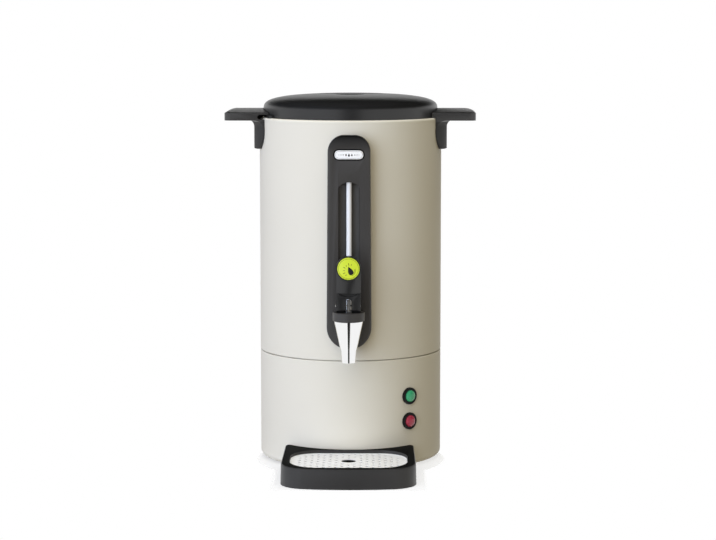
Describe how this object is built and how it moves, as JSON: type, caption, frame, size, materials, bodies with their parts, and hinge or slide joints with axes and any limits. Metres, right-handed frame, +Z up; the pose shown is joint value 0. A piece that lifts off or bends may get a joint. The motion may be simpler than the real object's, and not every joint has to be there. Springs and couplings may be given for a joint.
{
  "type": "coffee urn",
  "caption": "Cylindrical electric coffee urn with a lever tap, level gauge, side handles, twist-lock lid, percolator insert and loose drip tray.",
  "frame": {"origin": "on the worktop under the middle of the whole object's bounding box; the urn's own axis stands 48.9 mm behind it", "axes": "+Z up, -Y towards the user, who faces the tap, +X to the user's right"},
  "size_m": [0.3036, 0.3316, 0.4465],
  "materials": {
    "body_paint": "satin",
    "base_paint": "satin",
    "black_plastic": "fine grain",
    "lever_black": "smooth",
    "tray_black": "smooth",
    "spout_chrome": "mirror",
    "bright_steel": "brushed",
    "perforated_steel": "satin",
    "zinc_steel": "dull",
    "silicone": "matt",
    "black_rubber": "matt",
    "gauge_glass": "clear",
    "white_plate": "gloss",
    "lime_disc": "gloss",
    "green_lens": "translucent",
    "red_lens": "translucent",
    "alloy": "cast",
    "brass_parts": "plated",
    "switchgear": "gloss",
    "cream_ceramic": "satin",
    "wire_red": "satin",
    "copper_tube": "plain",
    "neon_glass": "clear"
  },
  "bodies": {
    "urn": {"tank": "body_paint", "base_housing": "base_paint", "bottom_plate": "zinc_steel", "rubber_feet": "black_rubber", "tie_rods": "zinc_steel", "tie_screws": "zinc_steel", "handle_right": "black_plastic", "handle_left": "black_plastic", "handle_screws": "bright_steel", "panel_screws": "bright_steel", "screw_seals": "silicone", "tap_panel": "black_plastic", "badge_plate": "white_plate", "tap_body": "spout_chrome", "shank_seals": "silicone", "shank_nut": "brass_parts", "tap_bonnet": "lever_black", "bonnet_nut": "lever_black", "tap_spring": "bright_steel", "gauge_tube": "gauge_glass", "gauge_bottom_seal": "silicone", "gauge_top_seal": "silicone", "heater_plate": "alloy", "heating_element": "zinc_steel", "boil_thermostat": "switchgear", "keep_warm_thermostat": "switchgear", "overheat_cutout": "switchgear", "cutout_capillary": "copper_tube", "terminal_block": "cream_ceramic", "thermal_fuse": "cream_ceramic", "internal_wires": "wire_red", "lamp_housings": "switchgear", "lamp_nuts": "switchgear", "neon_bulbs": "neon_glass", "green_lens": "green_lens", "red_lens": "red_lens", "rear_panel": "black_plastic", "rear_panel_screws": "zinc_steel", "inlet_socket": "switchgear", "inlet_pins": "brass_parts", "switch_frame": "switchgear"},
    "stem": {"tap_stem": "bright_steel", "seat_cup": "silicone", "lever_pin": "bright_steel"},
    "lever": {"tap_lever": "lever_black", "lever_disc": "lime_disc"},
    "pump": {"pump_tube": "bright_steel"},
    "basket": {"filter_basket": "bright_steel"},
    "cover": {"basket_cover": "bright_steel"},
    "lid_seal": {"lid_gasket": "silicone"},
    "lid": {"lid_shell": "black_plastic", "lid_liner": "bright_steel", "lid_screws": "bright_steel"},
    "tray": {"drip_tray": "tray_black"},
    "plate": {"drip_plate": "perforated_steel"},
    "rocker": {"switch_rocker": "switchgear"},
    "button": {"reset_button": "wire_red"}
  },
  "joints": [
    {"name": "stem_lift", "type": "slide", "parent": "urn", "child": "stem", "axis": [0, 0, 1], "range_m": [0, 0.0028], "deforming": ["tap_spring"]},
    {"name": "lever_tilt", "type": "hinge", "parent": "stem", "child": "lever", "pos_m": [0, -0.10308, 0.2054], "axis": [1, 0, 0], "range_deg": [0, 25], "stiffness_Nm_per_rad": 0.12, "springref_deg": -11.46},
    {"name": "pump_lift", "type": "slide", "parent": "urn", "child": "pump", "axis": [0, 0, 1], "range_m": [0, 0.3]},
    {"name": "basket_lift", "type": "slide", "parent": "pump", "child": "basket", "axis": [0, 0, 1], "range_m": [0, 0.14]},
    {"name": "cover_lift", "type": "slide", "parent": "basket", "child": "cover", "axis": [0, 0, 1], "range_m": [0, 0.06]},
    {"name": "lid_lift", "type": "slide", "parent": "cover", "child": "lid_seal", "axis": [0, 0, 1], "range_m": [0, 0.15]},
    {"name": "lid_turn", "type": "hinge", "parent": "lid_seal", "child": "lid", "pos_m": [0, 0.04892, 0.4186], "axis": [0, 0, -1], "range_deg": [0, 27]},
    {"name": "tray_slide", "type": "slide", "parent": "urn", "child": "tray", "axis": [0, -1, 0], "range_m": [0, 0.12]},
    {"name": "plate_lift", "type": "slide", "parent": "tray", "child": "plate", "axis": [0, 0, 1], "range_m": [0, 0.08]},
    {"name": "rocker_tilt", "type": "hinge", "parent": "urn", "child": "rocker", "pos_m": [0.018, 0.16162, 0.07], "axis": [1, 0, 0], "range_deg": [0, 20]},
    {"name": "reset_press", "type": "slide", "parent": "urn", "child": "button", "axis": [0, 0, 1], "range_m": [0, 0.0015], "stiffness_N_per_m": 500, "springref_m": -0.0004}
  ],
  "couplings": [
    {"joint": "lever_tilt", "follows": "stem_lift", "rad_per_m": 155.8}
  ]
}
